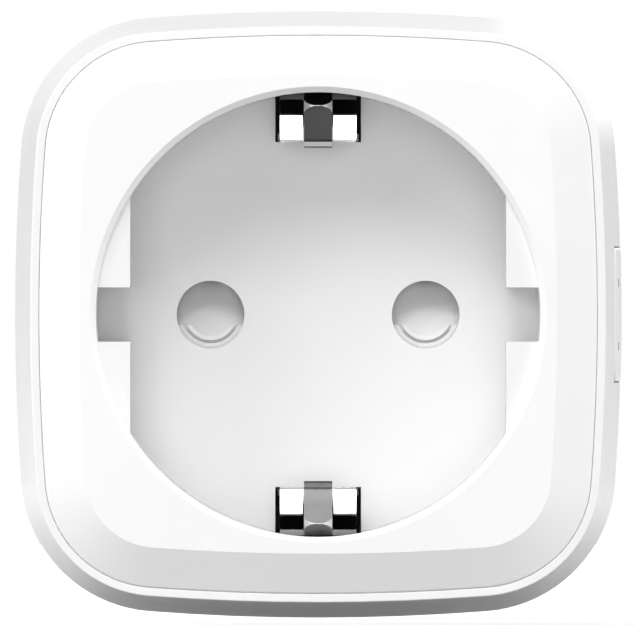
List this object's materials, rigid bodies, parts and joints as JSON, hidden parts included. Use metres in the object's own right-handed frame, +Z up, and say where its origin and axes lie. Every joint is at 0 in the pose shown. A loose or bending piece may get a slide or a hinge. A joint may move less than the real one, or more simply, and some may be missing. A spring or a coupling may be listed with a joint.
{
  "type": "smart plug",
  "caption": "White rounded-square smart plug: shuttered earthed socket recess in front, earthed round-pin plug boss behind, push button on the side.",
  "frame": {"origin": "centre of the plug boss's engagement face, midway between the two plug pins", "axes": "+X to the right seen from the front, +Y from the socket face towards the wall and out along the plug pins, +Z up"},
  "size_m": [0.0539, 0.0775, 0.0538],
  "materials": {
    "case_white": "fine satin moulding",
    "button_white": "satin moulding",
    "light_pipe": "translucent teal",
    "shutter_white": "satin, low friction",
    "inner_plastic": "matt, glass filled",
    "contact_metal": "nickel plated, brushed",
    "pin_metal": "nickel plated brass",
    "spring_steel": "drawn wire",
    "screw_steel": "zinc plated",
    "board_green": "solder mask",
    "relay_black": "matt",
    "copper": "tinned copper",
    "tin_can": "pressed tinplate",
    "capacitor_sleeve": "shrink sleeve",
    "ferrite": "sintered",
    "winding_tape": "polyester tape",
    "varistor_blue": "epoxy dip",
    "filter_box": "moulded box",
    "lamp": "moulded lens"
  },
  "bodies": {
    "housing": {"front_cover": "case_white", "rear_housing": "case_white", "switch_body": "tin_can", "shutter_spring": "spring_steel", "contact_carrier": "inner_plastic", "live_contact": "contact_metal", "neutral_contact": "contact_metal", "socket_earth_bracket": "contact_metal", "carrier_screws": "screw_steel", "live_plug_pin": "pin_metal", "neutral_plug_pin": "pin_metal", "pin_retainer": "inner_plastic", "earth_strip_top": "contact_metal", "earth_strip_bottom": "contact_metal", "earth_pin_sleeve": "contact_metal", "earth_link": "copper", "main_board": "board_green", "relay_case": "relay_black", "relay_terminals": "copper", "live_busbar": "copper", "neutral_busbar": "copper", "control_board": "board_green", "radio_shield": "tin_can", "header_pins": "copper", "status_leds": "lamp", "bulk_capacitors": "capacitor_sleeve", "transformer_core": "ferrite", "transformer_winding": "winding_tape", "fuse_resistor": "varistor_blue", "varistor": "varistor_blue", "line_filter_capacitor": "filter_box", "board_screws": "screw_steel"},
    "button": {"side_button": "button_white", "light_guide": "light_pipe", "switch_plunger": "relay_black"},
    "shutter_plate": {"shutter": "shutter_white"},
    "upper_earth_clip": {"earth_clip_top": "contact_metal"},
    "lower_earth_clip": {"earth_clip_bottom": "contact_metal"}
  },
  "joints": [
    {"name": "button_press", "type": "slide", "parent": "housing", "child": "button", "axis": [-1, 0, 0], "range_m": [0, 0.00045], "stiffness_N_per_m": 1500, "springref_m": -0.0006},
    {"name": "shutter_slide", "type": "slide", "parent": "housing", "child": "shutter_plate", "axis": [0, 0, -1], "range_m": [0, 0.0055], "stiffness_N_per_m": 120, "springref_m": -0.003, "deforming": ["shutter_spring"]},
    {"name": "upper_clip_flex", "type": "hinge", "parent": "housing", "child": "upper_earth_clip", "pos_m": [0, -0.035, 0.018], "axis": [-1, 0, 0], "range_deg": [0, 6.5], "stiffness_Nm_per_rad": 0.6, "springref_deg": -1.72},
    {"name": "lower_clip_flex", "type": "hinge", "parent": "housing", "child": "lower_earth_clip", "pos_m": [0, -0.035, -0.018], "axis": [1, 0, 0], "range_deg": [0, 6.5], "stiffness_Nm_per_rad": 0.6, "springref_deg": -1.72}
  ]
}
